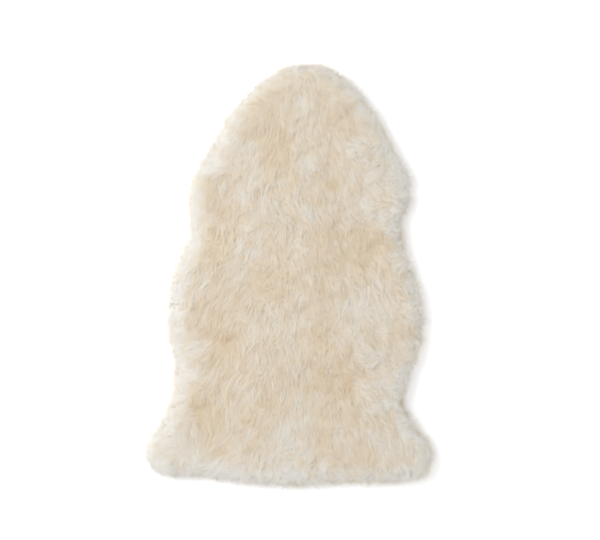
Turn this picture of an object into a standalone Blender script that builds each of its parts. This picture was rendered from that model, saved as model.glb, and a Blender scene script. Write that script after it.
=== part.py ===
"""Sheepskin rug: one tanned pelt with its wool on, lying flat.

The pelt is a single closed solid. Its underside is the flat skin, and its outer shape is
the reach of the wool, which overhangs the cut edge of the skin all round, turns over in a
soft rim and lies in low uneven swells on top.

Frame: metres, +Z up, neck towards +Y, hind legs towards -Y. The origin is on the floor
under the middle of the rug.
"""

import bmesh
import bpy
import numpy as np
from mathutils import Vector, noise

MM = 0.001

# Driving sizes of the wool.
CROWN_HEIGHT = 44 * MM  # floor to the top of the wool in the middle of the rug
RIM_HEIGHT = 17 * MM  # height at which the wool reaches furthest out
RIM_WIDTH = 48 * MM  # how far in from the outline the wool has risen to its full height
SWELL_HEIGHT = 5 * MM  # the most that the top rises or falls by
SWELL_LENGTH = 110 * MM  # about how far it is from one swell to the next

# Below the rim the wool turns under, down to the cut edge of the skin on the floor.
UNDER_RIM = (
    # in from the outline, height
    (1.0 * MM, 10.0 * MM),
    (4.5 * MM, 4.5 * MM),
    (10.0 * MM, 1.5 * MM),
    (18.0 * MM, 0.0 * MM),
)

# The outline of the wool seen from above, right round from the neck. The points lie on one
# smooth closed curve.
OUTLINE = (
    # place on the pelt, across (mm), along (mm)
    ("neck tip", 48, 456),
    ("neck, right", 118, 427),
    ("cheek, right", 184, 350),
    ("shoulder, right", 232, 266),
    ("foreleg front, right", 264, 205),
    ("foreleg back, right", 265, 155),
    ("armpit, right", 245, 98),
    ("flank, right", 271, 8),
    ("belly, right", 295, -90),
    ("thigh, right", 281, -185),
    ("groin, right", 250, -276),
    ("hind leg, right", 286, -336),
    ("hock, right", 310, -368),
    ("hind toe, right", 303, -430),
    ("rump, right", 270, -447),
    ("tail, right", 110, -453),
    ("tail", -10, -460),
    ("rump, left", -190, -440),
    ("hind toe, left", -292, -427),
    ("hock, left", -312, -386),
    ("hind leg, left", -279, -317),
    ("groin, left", -247, -240),
    ("belly, left", -261, -110),
    ("flank, left", -254, -5),
    ("armpit, left", -213, 90),
    ("foreleg, left", -219, 180),
    ("shoulder, left", -176, 268),
    ("cheek, left", -114, 362),
    ("neck, left", -36, 434),
)
SMOOTH_STEPS = 10  # straight steps from one outline point to the next

# The top of the wool is a grid of patches, finer towards the rim where it curves most.
COLUMNS = 26
ROWS = 38
RIM_CROWDING = 0.6  # 0 spaces rows and columns evenly, 1 crowds them hardest to the rim

WOOL_COLOUR = (0.80, 0.70, 0.56)
WOOL_ROUGHNESS = 0.95


def clear_scene():
    for thing in list(bpy.data.objects):
        bpy.data.objects.remove(thing)


def outline_points():
    """The outline as a closed run of points, in metres, centred on the origin."""
    curve = bpy.data.curves.new("outline", "CURVE")
    curve.resolution_u = SMOOTH_STEPS
    spline = curve.splines.new("BEZIER")
    spline.bezier_points.add(len(OUTLINE) - 1)
    spline.use_cyclic_u = True
    for knot, (_, across, along) in zip(spline.bezier_points, OUTLINE):
        knot.co = (across * MM, along * MM, 0)
        knot.handle_left_type = knot.handle_right_type = "AUTO"
    guide = bpy.data.objects.new("outline", curve)
    bpy.context.collection.objects.link(guide)
    bpy.context.view_layer.update()
    line = guide.to_mesh()
    points = np.array([vertex.co.xy for vertex in line.vertices])
    bpy.data.objects.remove(guide)
    return points - (points.min(axis=0) + points.max(axis=0)) / 2


def evenly_spaced(points, shares):
    """Points at these shares of the length of a line."""
    steps = np.linalg.norm(np.diff(points, axis=0), axis=1)
    along = np.concatenate([[0], np.cumsum(steps)]) / steps.sum()
    return np.stack([np.interp(shares, along, axis) for axis in points.T], axis=1)


def side(outline, start, end, shares):
    """The stretch of the outline from one named place to another, clockwise from above."""
    names = [row[0] for row in OUTLINE]
    first, last = names.index(start) * SMOOTH_STEPS, names.index(end) * SMOOTH_STEPS
    if last < first:
        last += len(outline)
    return evenly_spaced(outline.take(range(first, last + 1), axis=0, mode="wrap"), shares)


def crowded(count):
    """Shares from 0 to 1, closer together near both ends."""
    even = np.linspace(0, 1, count + 1)
    cosine = (1 - np.cos(np.pi * even)) / 2
    return even + (cosine - even) * RIM_CROWDING


def patch_plan(outline):
    """Plan of the top: a grid blended from the pelt's four sides, ROWS + 1 by COLUMNS + 1."""
    u, v = crowded(COLUMNS), crowded(ROWS)
    right = side(outline, "cheek, right", "hind toe, right", 1 - v)[:, None]
    hind = side(outline, "hind toe, right", "hind toe, left", 1 - u)[None]
    left = side(outline, "hind toe, left", "cheek, left", v)[:, None]
    neck = side(outline, "cheek, left", "cheek, right", u)[None]
    u, v = u[None, :, None], v[:, None, None]
    across = left * (1 - u) + right * u
    along = hind * (1 - v) + neck * v
    corners = (
        (hind[:, :1] * (1 - u) + hind[:, -1:] * u) * (1 - v)
        + (neck[:, :1] * (1 - u) + neck[:, -1:] * u) * v
    )
    return across + along - corners


def from_outline(point, outline):
    """How far a point in plan lies inside the outline."""
    start, end = outline, np.roll(outline, -1, axis=0)
    run = end - start
    share = ((point - start) * run).sum(axis=1) / (run * run).sum(axis=1)
    nearest = start + run * share.clip(0, 1)[:, None]
    return np.linalg.norm(nearest - point, axis=1).min()


def wool_height(point, outline):
    """Height of the wool over a point: a quarter round at the rim, then low swells."""
    inward = min(from_outline(point, outline) / RIM_WIDTH, 1)
    turned = (1 - (1 - inward) ** 2) ** 0.5
    swell = noise.noise(Vector((*point, 0)) / SWELL_LENGTH) * SWELL_HEIGHT
    return RIM_HEIGHT + (CROWN_HEIGHT - RIM_HEIGHT) * turned + swell * inward


def border(mesh):
    return [edge for edge in mesh.edges if edge.is_boundary]


def outward(vertex):
    """The way out of the pelt in plan, at a vertex of the open border."""
    ends = [edge.other_vert(vertex).co for edge in vertex.link_edges if edge.is_boundary]
    run = (ends[1] - ends[0]).xy.normalized()
    way = Vector((run.y, -run.x, 0))
    inner = sum((face.calc_center_median() for face in vertex.link_faces), Vector())
    inner /= len(vertex.link_faces)
    return way if (vertex.co - inner).dot(way) > 0 else -way


def turn_under(mesh):
    """Carries the border of the top round the rim and down to the floor."""
    rim = {vertex: vertex.co.copy() for edge in border(mesh) for vertex in edge.verts}
    ways = {vertex: outward(vertex) for vertex in rim}
    for inset, height in UNDER_RIM:
        made = bmesh.ops.extrude_edge_only(mesh, edges=border(mesh))["geom"]
        fresh = [item for item in made if isinstance(item, bmesh.types.BMVert)]
        below = {}
        for vertex in fresh:
            above = next(
                edge.other_vert(vertex)
                for edge in vertex.link_edges
                if edge.other_vert(vertex) in rim
            )
            place = rim[above] - ways[above] * inset
            place.z = height
            vertex.co = place
            below[vertex] = above
        rim = {vertex: rim[above] for vertex, above in below.items()}
        ways = {vertex: ways[above] for vertex, above in below.items()}


def wool_material():
    material = bpy.data.materials.new("wool")
    material.use_nodes = True
    shader = material.node_tree.nodes["Principled BSDF"]
    shader.inputs["Base Color"].default_value = (*WOOL_COLOUR, 1)
    shader.inputs["Roughness"].default_value = WOOL_ROUGHNESS
    shader.inputs["Metallic"].default_value = 0
    return material


def sheepskin():
    """The whole pelt: the crowned top, the rim turned under and the flat skin below."""
    outline = outline_points()
    plan = patch_plan(outline).reshape(-1, 2)
    mesh = bmesh.new()
    bmesh.ops.create_grid(mesh, x_segments=COLUMNS, y_segments=ROWS)
    mesh.verts.ensure_lookup_table()
    for vertex, point in zip(mesh.verts, plan):
        vertex.co = (*point, wool_height(point, outline))
    turn_under(mesh)
    bmesh.ops.contextual_create(mesh, geom=border(mesh))
    bmesh.ops.recalc_face_normals(mesh, faces=mesh.faces)
    data = bpy.data.meshes.new("sheepskin")
    mesh.to_mesh(data)
    mesh.free()
    data.shade_smooth()
    data.materials.append(wool_material())
    pelt = bpy.data.objects.new("sheepskin", data)
    bpy.context.collection.objects.link(pelt)
    return pelt


clear_scene()
sheepskin()
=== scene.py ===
"""Sheepskin rug: the looks of one tanned pelt with its wool on, lying flat on a pale floor.

The skin is a thin suede sheet, the dense wool near it is a felted body, and the fleece that
shows is locks of combed fibres. Metres, neck towards +Y.
"""

import bmesh
import bpy
import numpy as np
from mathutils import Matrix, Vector
from mathutils.bvhtree import BVHTree
from mathutils.kdtree import KDTree


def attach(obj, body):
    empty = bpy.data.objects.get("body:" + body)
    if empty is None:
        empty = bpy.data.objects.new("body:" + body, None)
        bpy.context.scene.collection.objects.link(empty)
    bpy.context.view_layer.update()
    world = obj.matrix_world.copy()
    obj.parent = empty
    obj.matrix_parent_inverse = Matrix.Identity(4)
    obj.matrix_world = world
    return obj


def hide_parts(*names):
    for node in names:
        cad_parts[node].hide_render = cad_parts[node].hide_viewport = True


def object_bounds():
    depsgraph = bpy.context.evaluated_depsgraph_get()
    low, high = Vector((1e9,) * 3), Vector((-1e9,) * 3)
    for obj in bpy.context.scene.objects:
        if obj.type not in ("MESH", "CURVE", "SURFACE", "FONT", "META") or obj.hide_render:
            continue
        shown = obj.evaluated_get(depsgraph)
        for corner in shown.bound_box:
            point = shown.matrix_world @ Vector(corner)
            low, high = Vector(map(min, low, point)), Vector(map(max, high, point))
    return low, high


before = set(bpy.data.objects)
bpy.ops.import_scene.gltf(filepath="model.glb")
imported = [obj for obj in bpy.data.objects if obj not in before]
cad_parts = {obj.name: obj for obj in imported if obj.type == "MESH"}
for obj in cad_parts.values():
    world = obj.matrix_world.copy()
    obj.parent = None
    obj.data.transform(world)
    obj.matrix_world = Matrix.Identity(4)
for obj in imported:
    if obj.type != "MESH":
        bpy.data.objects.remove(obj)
cad_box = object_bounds()
MM = 0.001

# ---------------------------------------------------------------------------------------
# The floor and the light. A flat white floor that the wool stands on, under a broad pale sky,
# with one large soft lamp from the left, above the neck, so the right rim falls in shade.
# ---------------------------------------------------------------------------------------


def linear(code):
    """An sRGB hex colour as linear red, green, blue and alpha."""
    parts = [int(code[i : i + 2], 16) / 255 for i in (1, 3, 5)]
    return (*(c / 12.92 if c <= 0.04045 else ((c + 0.055) / 1.055) ** 2.4 for c in parts), 1)


def socket(sockets, name):
    """The socket of that name that is in use."""
    return next(each for each in sockets if each.name == name and each.enabled)


def node(tree, kind, inputs=None, **settings):
    """Adds a node with its settings. An input is a value, or a node and its output's name."""
    made = tree.nodes.new(kind)
    for name, value in settings.items():
        setattr(made, name, value)
    for name, value in (inputs or {}).items():
        if isinstance(value, tuple) and isinstance(value[0], bpy.types.Node):
            tree.links.new(socket(value[0].outputs, value[1]), socket(made.inputs, name))
        else:
            socket(made.inputs, name).default_value = value
    return made


def new_material(name):
    """A material and its tree, with no nodes yet."""
    material = bpy.data.materials.new(name)
    material.use_nodes = True
    material.node_tree.nodes.clear()
    return material, material.node_tree


FLOOR_SIZE = 12.0
FLOOR_WHITE = "#F8F8F8"

bpy.ops.object.select_all(action="DESELECT")
bpy.ops.mesh.primitive_plane_add(size=FLOOR_SIZE, location=(0, 0, 0))
floor = bpy.context.object
floor.name = "floor"
# Matt white paint: a faint roller stipple that takes the flatness off it.
paint, tree = new_material("matt_white_paint")
place = node(tree, "ShaderNodeTexCoord")
stipple = node(
    tree, "ShaderNodeTexNoise", {"Vector": (place, "Object"), "Scale": 1 / (6 * MM)}
)
bump = node(
    tree, "ShaderNodeBump", {"Height": (stipple, "Fac"), "Strength": 0.05, "Distance": 0.2 * MM}
)
coat = node(
    tree,
    "ShaderNodeBsdfPrincipled",
    {"Base Color": linear(FLOOR_WHITE), "Roughness": 0.9, "Normal": (bump, "Normal")},
)
node(tree, "ShaderNodeOutputMaterial", {"Surface": (coat, "BSDF")})
floor.data.materials.append(paint)

SKY_STRENGTH = 1.08
LAMP_POWER = 42.0
LAMP_SIZE = 1.6
LAMP_PLACE = Vector((-1.9, 0.7, 1.9))

scene = bpy.context.scene
scene.view_settings.view_transform = "Standard"
sky = bpy.data.worlds.new("pale_sky")
sky.use_nodes = True
sky.node_tree.nodes["Background"].inputs["Color"].default_value = (1, 1, 1, 1)
sky.node_tree.nodes["Background"].inputs["Strength"].default_value = SKY_STRENGTH
scene.world = sky
lamp = bpy.data.objects.new("soft_lamp", bpy.data.lights.new("soft_lamp", "AREA"))
lamp.data.energy = LAMP_POWER
lamp.data.size = LAMP_SIZE
lamp.location = LAMP_PLACE
lamp.rotation_euler = (-LAMP_PLACE).to_track_quat("-Z", "Y").to_euler()
scene.collection.objects.link(lamp)

# The camera hangs straight above the rug and looks down on it, the neck at the top.
CAMERA_HEIGHT = 3.0
CAMERA_LENS = 83.2
CAMERA_ASIDE = Vector((23.6, 10.5, 0)) * MM  # the rug lies a little left of and below centre

middle = (cad_box[0] + cad_box[1]) / 2
camera = bpy.data.objects.new("camera", bpy.data.cameras.new("camera"))
camera.data.lens = CAMERA_LENS
camera.location = (middle.x, middle.y, CAMERA_HEIGHT)
camera.location += CAMERA_ASIDE
scene.collection.objects.link(camera)
scene.camera = camera

# ---------------------------------------------------------------------------------------
# The skin: one sheep's pelt, tanned and buffed to pale suede, trimmed with a knife to the
# pelt's own outline. It lies flat on the floor, 22 mm inside the reach of the wool.
# ---------------------------------------------------------------------------------------

SKIN_THICKNESS = 1.8 * MM
SKIN_EDGE = 4 * MM  # how far inside the flat underside of the solid the cut runs
SUEDE_PALE = "#DCCBB0"
SUEDE_DARK = "#C6AF8E"
SUEDE_NAP = 0.35 * MM  # length of the buffed nap


def merged_copy(name):
    """A copy of the pelt's solid with its loose triangles joined up."""
    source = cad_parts["sheepskin"]
    copy = bpy.data.objects.new(name, source.data.copy())
    copy.data.materials.clear()
    scene.collection.objects.link(copy)
    bpy.ops.object.select_all(action="DESELECT")
    bpy.context.view_layer.objects.active = copy
    copy.select_set(True)
    bpy.ops.object.mode_set(mode="EDIT")
    bpy.ops.mesh.select_all(action="SELECT")
    bpy.ops.mesh.remove_doubles(threshold=0.01 * MM)
    bpy.ops.object.mode_set(mode="OBJECT")
    return copy


skin = merged_copy("skin")
flat_part = bmesh.new()
flat_part.from_mesh(skin.data)
bmesh.ops.delete(
    flat_part,
    geom=[face for face in flat_part.faces if face.calc_center_median().z > 0.01 * MM],
    context="FACES",
)
flat_part.to_mesh(skin.data)
flat_part.free()
bpy.ops.object.mode_set(mode="EDIT")
bpy.ops.mesh.select_all(action="SELECT")
bpy.ops.mesh.dissolve_limited(angle_limit=0.01)
bpy.ops.mesh.select_all(action="SELECT")
bpy.ops.mesh.inset(thickness=SKIN_EDGE, depth=0)
bpy.ops.mesh.select_all(action="INVERT")
bpy.ops.mesh.delete(type="FACE")
bpy.ops.mesh.select_all(action="SELECT")
bpy.ops.mesh.extrude_region_move(TRANSFORM_OT_translate={"value": (0, 0, SKIN_THICKNESS)})
bpy.ops.mesh.select_all(action="SELECT")
bpy.ops.mesh.normals_make_consistent(inside=False)
bpy.ops.mesh.quads_convert_to_tris()
bpy.ops.object.mode_set(mode="OBJECT")

# Suede: tanned skin buffed to a short nap, so it is matt, mottled in soft clouds a few
# centimetres across, and has a fine velvet bump.
suede, tree = new_material("buffed_suede")
place = node(tree, "ShaderNodeTexCoord")
clouds = node(
    tree,
    "ShaderNodeTexNoise",
    {"Vector": (place, "Object"), "Scale": 1 / (45 * MM), "Detail": 5.0},
)
tan = node(
    tree,
    "ShaderNodeMix",
    {"Factor": (clouds, "Fac"), "A": linear(SUEDE_DARK), "B": linear(SUEDE_PALE)},
    data_type="RGBA",
)
nap = node(
    tree,
    "ShaderNodeTexNoise",
    {"Vector": (place, "Object"), "Scale": 1 / (1.2 * MM), "Detail": 3.0},
)
bump = node(
    tree, "ShaderNodeBump", {"Height": (nap, "Fac"), "Strength": 0.5, "Distance": SUEDE_NAP}
)
hide = node(
    tree,
    "ShaderNodeBsdfPrincipled",
    {
        "Base Color": (tan, "Result"),
        "Roughness": 0.95,
        "Sheen Weight": 0.3,
        "Normal": (bump, "Normal"),
    },
)
node(tree, "ShaderNodeOutputMaterial", {"Surface": (hide, "BSDF")})
skin.data.materials.append(suede)
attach(skin, "root")
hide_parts("sheepskin")

# ---------------------------------------------------------------------------------------
# The lie of the wool: how high it stands, which way it is combed and how pale it is, from
# place to place over the pelt. The felt and the fleece below both follow it.
# ---------------------------------------------------------------------------------------

SEED = 7
WAVES = 14  # of each random hill pattern

# Tufts that stand proud and pale, and partings that sink and show the warmer wool below.
TUFTS = [
    # across mm, along mm, radius mm, turned deg, lift mm, paleness
    (-85, 249, 22, 30, 3.8, 0.8),
    (-154, 230, 24, -30, 3.8, 0.8),
    (50, 221, 20, 35, 4.5, 0.6),
    (-85, 168, 24, 40, 4.5, 0.9),
    (-13, 132, 38, 20, 3.0, 0.6),
    (48, 125, 24, 50, 3.0, 0.8),
    (188, 235, 42, 75, 3.0, 0.8),
    (195, 130, 40, 80, 1.5, 0.6),
    (-16, -372, 26, -60, 6.0, 0.9),
    (188, -277, 24, 70, 6.0, 1.0),
    (184, -181, 22, 90, 6.0, 0.9),
    (-199, -159, 22, -50, 4.5, 0.6),
    (-128, -155, 18, 30, -7.5, -0.9),
    (-225, -282, 16, 20, -4.5, -0.6),
    (-190, -307, 26, 40, -7.5, -0.9),
    (-16, -307, 18, -40, -7.5, -0.7),
    (78, -363, 18, 40, -7.5, -0.7),
    (-167, -389, 18, -30, -7.5, -0.7),
    (-81, 365, 28, 0, -2.2, -0.6),
    (132, 0, 60, 0, -1.0, -0.5),
    (186, 78, 45, 0, -1.5, -0.6),
    (-163, -163, 34, 0, -3.0, -0.7),
    (143, -222, 45, 0, -3.0, -0.7),
    (-191, -292, 32, 0, -3.0, -0.6),
    (-255, -410, 75, 0, 0.0, 0.8),
    (-20, -415, 90, 0, 0.0, 0.5),
    (190, -60, 75, 0, 0.0, 0.6),
    (205, 190, 60, 0, 0.0, 0.5),
    (225, -380, 70, 0, 0.0, 0.4),
]

rng = np.random.default_rng(SEED)

# Small tufts and hollows at random, more of them towards the tail, where the wool is looser.
SMALL_TUFTS = 150
SMALL_ACROSS, SMALL_ALONG = 280, 450  # how far from the middle they reach, in mm
SMALL_RADIUS = (8, 16)
SMALL_TURN = 40  # degrees, as a usual difference
SMALL_LIFT = (0.3, 2.0)  # mm, as a mean and a usual difference
PALE_BY_LIFT, PALE_BY_CHANCE = 0.15, 0.2
TO_TAIL = 0.6  # below 1, more of them lie towards the tail
for _ in range(SMALL_TUFTS):
    lift = rng.normal(*SMALL_LIFT)
    TUFTS.append(
        (
            rng.uniform(-SMALL_ACROSS, SMALL_ACROSS),
            SMALL_ALONG * (1 - 2 * rng.uniform() ** TO_TAIL),
            rng.uniform(*SMALL_RADIUS),
            rng.normal(0, SMALL_TURN),
            lift,
            PALE_BY_LIFT * lift + rng.normal(0, PALE_BY_CHANCE),
        )
    )


def hills(length, longer=1):
    """A pattern of smooth random hills, about -1 to 1, this far apart across the pelt, and
    this many times longer along it."""
    angle = rng.uniform(0, 2 * np.pi, WAVES)
    steep = 2 * np.pi / (length * rng.uniform(0.7, 1.5, WAVES))
    way = np.stack([np.cos(angle), np.sin(angle) / longer]) * steep
    phase = rng.uniform(0, 2 * np.pi, WAVES)
    return lambda points: np.sin(points[:, :2] @ way + phase).sum(axis=1) / np.sqrt(WAVES)


SWIRL = np.radians(12)
SWELL_WIDE, SWELL_FINE = 1.8 * MM, 1.2 * MM
PALE_WIDE, PALE_FINE, PALE_STREAKS = 0.20, 0.12, 0.20
swirl_wide, swirl_fine = hills(190 * MM), hills(70 * MM)
swell_wide, swell_fine = hills(60 * MM), hills(26 * MM)
pale_wide, pale_fine, streaks = hills(160 * MM), hills(45 * MM), hills(9 * MM, 6)


def lie_of(points):
    """How far the wool is turned, lifted and paled at these places."""
    turned = SWIRL * (swirl_wide(points) + swirl_fine(points))
    lifted = SWELL_WIDE * swell_wide(points) + SWELL_FINE * swell_fine(points)
    paled = PALE_WIDE * pale_wide(points) + PALE_FINE * pale_fine(points)
    paled += PALE_STREAKS * streaks(points)
    for across, along, radius, turn, lift, pale in TUFTS:
        away = np.linalg.norm(points[:, :2] - np.array((across, along)) * MM, axis=1)
        near = np.exp(-((away / (radius * MM)) ** 2))
        turned += np.radians(turn) * near
        lifted += lift * MM * near
        paled += pale * near
    return turned, lifted, paled


# The reach of the wool, smoothed: the tips of the fibres lie on it.
reach = merged_copy("reach")
bpy.ops.object.mode_set(mode="EDIT")
bpy.ops.mesh.select_all(action="SELECT")
bpy.ops.mesh.tris_convert_to_quads()
bpy.ops.object.mode_set(mode="OBJECT")
smooth = reach.modifiers.new("smooth", "SUBSURF")
smooth.levels = smooth.render_levels = 2
bpy.ops.object.modifier_apply(modifier="smooth")
reach.data.shade_smooth()


def numbers(items, name, kind=float):
    """One three-number property of many mesh items, as an array."""
    found = np.zeros(len(items) * 3, kind)
    items.foreach_get(name, found)
    return found.reshape(-1, 3)


places = numbers(reach.data.vertices, "co")
facing = numbers(reach.data.vertices, "normal")

# ---------------------------------------------------------------------------------------
# The felt: the dense, matted wool next to the skin. It fills the pelt to a little below
# the tips, and shows only as warm depth where the locks part.
# ---------------------------------------------------------------------------------------

FELT_DEPTH = 5 * MM  # how far its top lies below the reach of the wool
FELT_MOST_LIFT = 0.5 * MM  # it rises less than the locks do, so that they always cover it
FELT_INSIDE_RIM = 28 * MM  # and how far in from the rim it ends
FELT_VOXEL = 7 * MM
KNOT_SIZE, KNOT_HEIGHT = 14 * MM, 2 * MM
# warm like the wool deep in a fleece, but painted about as bright as the tips: painted light in
# the shade between the locks
WOOL_DEEP_PAINTED_BRIGHT = "#F0E3CC"

up, down = np.clip(facing[:, 2], 0, 1), np.clip(-facing[:, 2], 0, 1)
depth = FELT_DEPTH * up + FELT_INSIDE_RIM * (1 - up - down) + SKIN_THICKNESS * down
depth -= np.minimum(lie_of(places)[1], FELT_MOST_LIFT) * up
felt = bpy.data.objects.new("felt", reach.data.copy())
felt.data.vertices.foreach_set("co", (places - facing * depth[:, None]).ravel())
scene.collection.objects.link(felt)
bpy.ops.object.select_all(action="DESELECT")
bpy.context.view_layer.objects.active = felt
felt.select_set(True)
even = felt.modifiers.new("even", "REMESH")
even.mode = "VOXEL"
even.voxel_size = FELT_VOXEL
bpy.ops.object.modifier_apply(modifier="even")
knots = bpy.data.textures.new("knots", "CLOUDS")
knots.noise_scale = KNOT_SIZE
matted = felt.modifiers.new("matted", "DISPLACE")
matted.texture = knots
matted.texture_coords = "LOCAL"
matted.strength = KNOT_HEIGHT
bpy.ops.object.modifier_apply(modifier="matted")
felt.data.shade_smooth()

# Matted wool: the same fibres, warmer for lying deep, in a fine tangle. Its colour is painted
# about as bright as the tips: painted light that fills the shade where the locks part.
matting, tree = new_material("matted_wool")
place = node(tree, "ShaderNodeTexCoord")
tangle = node(
    tree,
    "ShaderNodeTexNoise",
    {"Vector": (place, "Object"), "Scale": 1 / (2.5 * MM), "Detail": 4.0},
)
bump = node(
    tree, "ShaderNodeBump", {"Height": (tangle, "Fac"), "Strength": 0.8, "Distance": 1.5 * MM}
)
deep = node(
    tree,
    "ShaderNodeBsdfPrincipled",
    {
        "Base Color": linear(WOOL_DEEP_PAINTED_BRIGHT),
        "Roughness": 0.95,
        "Sheen Weight": 0.2,
        "Normal": (bump, "Normal"),
    },
)
node(tree, "ShaderNodeOutputMaterial", {"Surface": (deep, "BSDF")})
felt.data.materials.append(matting)
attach(felt, "root")
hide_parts("sheepskin")

# ---------------------------------------------------------------------------------------
# The fleece: fine wool fibres in combed locks. Each strand here stands for a few dozen
# fibres. It rises out of the felt, bends over the way the wool is combed and ends on the
# reach of the wool, its tip drawn towards its lock's.
# ---------------------------------------------------------------------------------------

STRANDS = 300_000
STRAND_LENGTH = (22 * MM, 40 * MM)  # the part that lies along the surface
STRAND_WIDTH = 0.7 * MM
ROOT_DEPTH = 8 * MM
RIM_ROOT_DEPTH = 32 * MM
LOCKS = 3200
LOCKLETS = 30000
RIM_FADE = 10 * MM  # the wool is full to here inside its reach, and thins out beyond
RIM_THINNING = 5 * MM  # the distance over which two in three strands end
RIM_STRAY = 7 * MM  # the furthest that a stray fibre sticks out
RIM_REACH = 55 * MM  # the wool starts to lean outwards this far in from the rim
RIM_PALE = 42 * MM  # and starts to pale
RIM_TONE = 1.2
RIM_FACING = 0.35  # what faces up less than this is the rim's edge
FAN = np.array((1.6, -0.55))  # how the combed wool spreads to the sides, and runs to the tail
LEAN = 1.6  # how strongly the rim's wool leans outwards
DROOP = 1.2  # and hangs where the reach is steep
HANG_OUT = 0.8  # how far wool below the rim hangs out from its turned-under reach, of the way
LOCK_PULL, LOCKLET_PULL = 0.10, 0.25  # how far tips are drawn to the tips of their locks
LOCK_AHEAD = 5 * MM
MOST_TONE, MOST_PATCH = 0.7, 2.2
LEAST_HEIGHT = 0.8 * MM  # above the floor

# How much strands differ by lock, by locklet and one by one.
TURN_SPREAD = (0.14, 0.12, 0.08)  # radians
TONE_SPREAD = (0.08, 0.14, 0.08)
LIFT_SPREAD = (0.7 * MM, 0.5 * MM, 0.4 * MM)
PATCH_SPREAD = (0.5, 0.6)  # in how strongly it takes on the tone of its place
RIM_LIFT_SPREAD = (1.8 * MM, 1.0 * MM)
RIM_TONE_SPREAD = (0.25, 0.3)
LENGTH_SPREAD = 0.12  # by lock
BEND_SPREAD = (0.12, 0.06)  # by locklet and one by one, of the strand's length


def unit(vectors):
    return vectors / np.maximum(np.linalg.norm(vectors, axis=-1, keepdims=True), 1e-9)


# Where the strands end: spread evenly by area over the reach, except its flat underside.
reach.data.calc_loop_triangles()
corners = numbers(reach.data.loop_triangles, "vertices", int)
a, b, c = (places[corners[:, i]] for i in range(3))
area = np.linalg.norm(np.cross(b - a, c - a), axis=1) / 2
area[(a[:, 2] + b[:, 2] + c[:, 2]) / 3 < 1.0 * MM] = 0
chosen = rng.choice(len(corners), STRANDS, p=area / area.sum())
shares = rng.dirichlet((1, 1, 1), STRANDS)
tips = np.einsum("sc,scx->sx", shares, places[corners[chosen]])
normals = unit(np.einsum("sc,scx->sx", shares, facing[corners[chosen]]))

# How the wool is combed: from the neck to the tail, fanning out to the flanks, and leaning
# out over the rim, with slow swirls.
surface = BVHTree.FromPolygons(
    [Vector(p) for p in places], [tuple(face.vertices) for face in reach.data.polygons]
)
rim = [i for i in range(len(places)) if abs(facing[i][2]) < RIM_FACING]
ring = KDTree(len(rim))
for i in rim:
    ring.insert((*places[i][:2], 0), i)
ring.balance()
found = [ring.find((x, y, 0)) for x, y, _ in tips]
inward = np.array([hit[2] for hit in found])
out_way = unit(facing[[hit[1] for hit in found]] * (1, 1, 0))
# Below the widest part of the rim the wool hangs to the floor instead of turning under.
hanging = normals[:, 2] < 0
tips[hanging] += (out_way * inward[:, None] * HANG_OUT)[hanging]
normals[hanging] = out_way[hanging]
turn, lift, tone = lie_of(tips)
fan = np.stack([tips[:, 0] * FAN[0], np.full(STRANDS, FAN[1]), np.zeros(STRANDS)], axis=1)
lean = np.clip(1 - inward / RIM_REACH, 0, 1)[:, None]
way = unit(fan) * (1 - lean) + out_way * lean * LEAN
cos, sin = np.cos(turn), np.sin(turn)
way = np.stack(
    [way[:, 0] * cos - way[:, 1] * sin, way[:, 0] * sin + way[:, 1] * cos, way[:, 2]], axis=1
)
drop = np.clip(1 - np.abs(normals[:, 2:]), 0, 1)
way = unit(way) + np.array((0, 0, -DROOP)) * drop
way = unit(way - normals * (way * normals).sum(axis=1, keepdims=True))


def gathered(points, count):
    """Puts each strand in one of a number of locks: the lock's number and its middle."""
    heads = rng.choice(len(points), count, replace=False)
    tree = KDTree(count)
    for i, head in enumerate(heads):
        tree.insert(points[head], i)
    tree.balance()
    own = np.array([tree.find(p)[1] for p in points])
    return own, points[heads[own]]


def spread(by_lock, by_locklet, by_strand=None):
    """A random number for each strand, which differs this much by lock and so on."""
    both = rng.normal(0, by_lock, LOCKS)[lock] + rng.normal(0, by_locklet, LOCKLETS)[locklet]
    return both if by_strand is None else both + rng.normal(0, by_strand, STRANDS)


lock, lock_middle = gathered(tips, LOCKS)
locklet, locklet_middle = gathered(tips, LOCKLETS)
turn = spread(*TURN_SPREAD)
side = np.cross(normals, way)
way = way * np.cos(turn)[:, None] + side * np.sin(turn)[:, None]
side = np.cross(normals, way)
length = rng.uniform(*STRAND_LENGTH, STRANDS) * (1 + rng.normal(0, LENGTH_SPREAD, LOCKS)[lock])
tone *= np.clip(1 + spread(*PATCH_SPREAD), 0, MOST_PATCH)
tone += spread(*TONE_SPREAD)
lift += spread(*LIFT_SPREAD)
# At the rim the tips thin out, from well inside the reach of the wool to a little past it.
sideways = np.clip(1 - normals[:, 2], 0, 1)
thinning = np.minimum(rng.exponential(RIM_THINNING, STRANDS), RIM_FADE + RIM_STRAY) - RIM_FADE
lift += sideways * (thinning + spread(*RIM_LIFT_SPREAD))
# The rim pales where it is seen from above, and is the wool's own ivory down its side.
rim_tone = RIM_TONE * np.clip(1 - inward / RIM_PALE, 0, 1)
rim_tone *= np.clip(0.3 + normals[:, 2] * 1.4, 0, 1)
rim_tone *= np.clip(1 + spread(*RIM_TONE_SPREAD), 0.2, 1.6)
tone = np.clip(tone, -1, MOST_TONE) + rim_tone
bend = rng.normal(0, BEND_SPREAD[0], LOCKLETS)[locklet] + rng.normal(0, BEND_SPREAD[1], STRANDS)
ahead = way * LOCK_AHEAD
ends = tips + (lock_middle + ahead - tips) * LOCK_PULL
ends = ends + (locklet_middle + ahead - ends) * LOCKLET_PULL

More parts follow.
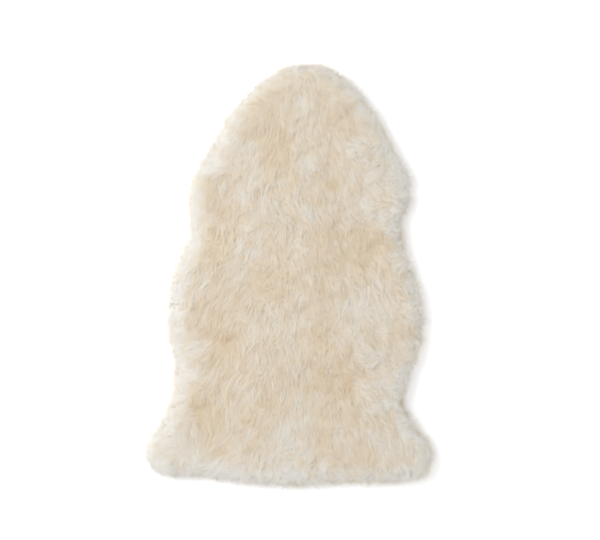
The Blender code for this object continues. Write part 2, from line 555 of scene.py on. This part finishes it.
# Each strand's line: three places from the root, under the felt, to the tip.
STEPS = (0.0, 0.5, 1.0)
line, upright = [], []
for step in STEPS:
    back = 1 - step
    raw = ends - way * (length * back)[:, None] + side * (bend * length * step * back * 4)[:, None]
    if step < 1:
        near = [surface.find_nearest(p) for p in raw]
        on = np.array([hit[0] for hit in near])
        out_of = np.array([hit[1] for hit in near])
    else:
        on, out_of = ends, normals
    deep = ROOT_DEPTH + (RIM_ROOT_DEPTH - ROOT_DEPTH) * np.clip(1 - out_of[:, 2], 0, 1)
    height = lift * step - deep * back**2
    line.append(on + out_of * height[:, None])
    upright.append(out_of)
line, upright = np.stack(line, axis=1), np.stack(upright, axis=1)
line[:, :, 2] = np.maximum(line[:, :, 2], LEAST_HEIGHT)

# Each strand is a narrow leaf of two faces, widest in the middle and fine at its tip.
WIDTHS = np.array((0.85, 1.0, 0.0))
ROLL = 0.18  # how far, in radians, strands are turned about their own line
ROUNDING = 0.2  # how far shading turns from a strand's middle to its edges
run = np.gradient(line, axis=1)
across = unit(np.cross(run, upright))
outward = unit(np.cross(across, run))
roll = np.clip(rng.normal(0, ROLL, STRANDS), -1.2, 1.2)[:, None, None]
across, outward = (
    across * np.cos(roll) + outward * np.sin(roll),
    outward * np.cos(roll) - across * np.sin(roll),
)
width = STRAND_WIDTH * rng.uniform(0.7, 1.3, STRANDS)
half = across * (width[:, None] * WIDTHS / 2)[:, :, None]
left, right = line - half, line + half
points = np.concatenate([left[:, :2], right[:, :2], line[:, 2:]], axis=1)
soft = unit(outward * 0.3 + upright * 0.8)
shading = np.concatenate(
    [
        unit(soft[:, :2] - across[:, :2] * ROUNDING),
        unit(soft[:, :2] + across[:, :2] * ROUNDING),
        soft[:, 2:],
    ],
    axis=1,
)
tone = np.clip(0.5 + tone * 0.5, 0.02, 0.98)

# Wool: keratin fibres, off-white at the combed tips and warmer in the pile, which light
# passes through. The map on each strand gives how far up it a place is and its tone. The
# roots are painted as bright as the tips: painted light that fills the shade deep in the
# pile, over the wool's own warmth.
TIP_WARM, TIP_IVORY, TIP_PALE = "#EDE1CC", "#F2EADC", "#F5F4F1"
# root colours: the warmth is the wool's own, the brightness is painted light filling the shade low
# in the pile
ROOT_WARM_PAINTED_BRIGHT, ROOT_PALE_PAINTED_BRIGHT = "#F0E3CB", "#F6F4EE"
wool, tree = new_material("combed_wool")
own_map = node(tree, "ShaderNodeUVMap", uv_map="OFBake")
split = node(tree, "ShaderNodeSeparateXYZ", {"Vector": (own_map, "UV")})
tip = node(tree, "ShaderNodeValToRGB", {"Fac": (split, "Y")})
tip.color_ramp.elements[0].color = linear(TIP_WARM)
tip.color_ramp.elements[1].color = linear(TIP_PALE)
tip.color_ramp.elements.new(0.5).color = linear(TIP_IVORY)
root = node(
    tree,
    "ShaderNodeMix",
    {"Factor": (split, "Y"), "A": linear(ROOT_WARM_PAINTED_BRIGHT), "B": linear(ROOT_PALE_PAINTED_BRIGHT)},
    data_type="RGBA",
)
rise = node(
    tree,
    "ShaderNodeMapRange",
    {"Value": (split, "X"), "From Min": 0.15, "From Max": 0.85},
    interpolation_type="SMOOTHSTEP",
)
colour = node(
    tree,
    "ShaderNodeMix",
    {"Factor": (rise, "Result"), "A": (root, "Result"), "B": (tip, "Color")},
    data_type="RGBA",
)
fibre = node(
    tree,
    "ShaderNodeBsdfPrincipled",
    {"Base Color": (colour, "Result"), "Roughness": 0.8, "Sheen Weight": 0.25},
)
glow = node(tree, "ShaderNodeBsdfTranslucent", {"Color": (colour, "Result")})
both = node(tree, "ShaderNodeMixShader", {"Fac": 0.5})
tree.links.new(fibre.outputs["BSDF"], both.inputs[1])
tree.links.new(glow.outputs["BSDF"], both.inputs[2])
node(tree, "ShaderNodeOutputMaterial", {"Surface": (both, "Shader")})

# The two faces of a strand, as corners among its five points, and where each corner lies
# on the map: how far up the strand, and on which of its sides.
POINTS = 5
FACES = (0, 2, 3, 1, 1, 3, 4)
FACE_STARTS = (0, 4)
UP = np.array(STEPS)[[0, 0, 1, 1, 1, 1, 2]]
SIDE = np.array((-1, 1, 1, -1, -1, 1, 0))
MAP_WIDTH = 0.006


def strands_piece(name, some):
    """One piece of the fleece: some of the strands, joined in one mesh."""
    number = np.arange(len(some))[:, None]
    mesh = bpy.data.meshes.new(name)
    mesh.vertices.add(len(some) * POINTS)
    mesh.vertices.foreach_set("co", points[some].ravel())
    mesh.loops.add(len(some) * len(FACES))
    mesh.loops.foreach_set("vertex_index", (number * POINTS + FACES).ravel())
    mesh.polygons.add(len(some) * len(FACE_STARTS))
    mesh.polygons.foreach_set("loop_start", (number * len(FACES) + FACE_STARTS).ravel())
    mesh.update(calc_edges=True)
    mesh.shade_smooth()
    mesh.normals_split_custom_set_from_vertices(shading[some].reshape(-1, 3))
    up = np.broadcast_to(UP, (len(some), len(UP)))
    where = np.stack([up, tone[some, None] + SIDE * MAP_WIDTH], axis=-1)
    mesh.uv_layers.new(name="OFBake").data.foreach_set("uv", where.ravel())
    mesh.materials.append(wool)
    piece = bpy.data.objects.new(name, mesh)
    scene.collection.objects.link(piece)
    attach(piece, "root")
    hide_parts("sheepskin")
    return piece


RIM_PIECE_FACING = 0.55
at_rim = normals[:, 2] < RIM_PIECE_FACING
inner = np.flatnonzero(~at_rim)
inner = inner[np.argsort(tips[inner, 1])]
fleece = [strands_piece("rim_fleece", np.flatnonzero(at_rim))]
for part, some in zip(("rump", "loin", "back", "shoulder", "neck"), np.array_split(inner, 5)):
    fleece.append(strands_piece(part + "_fleece", some))
bpy.data.objects.remove(reach)
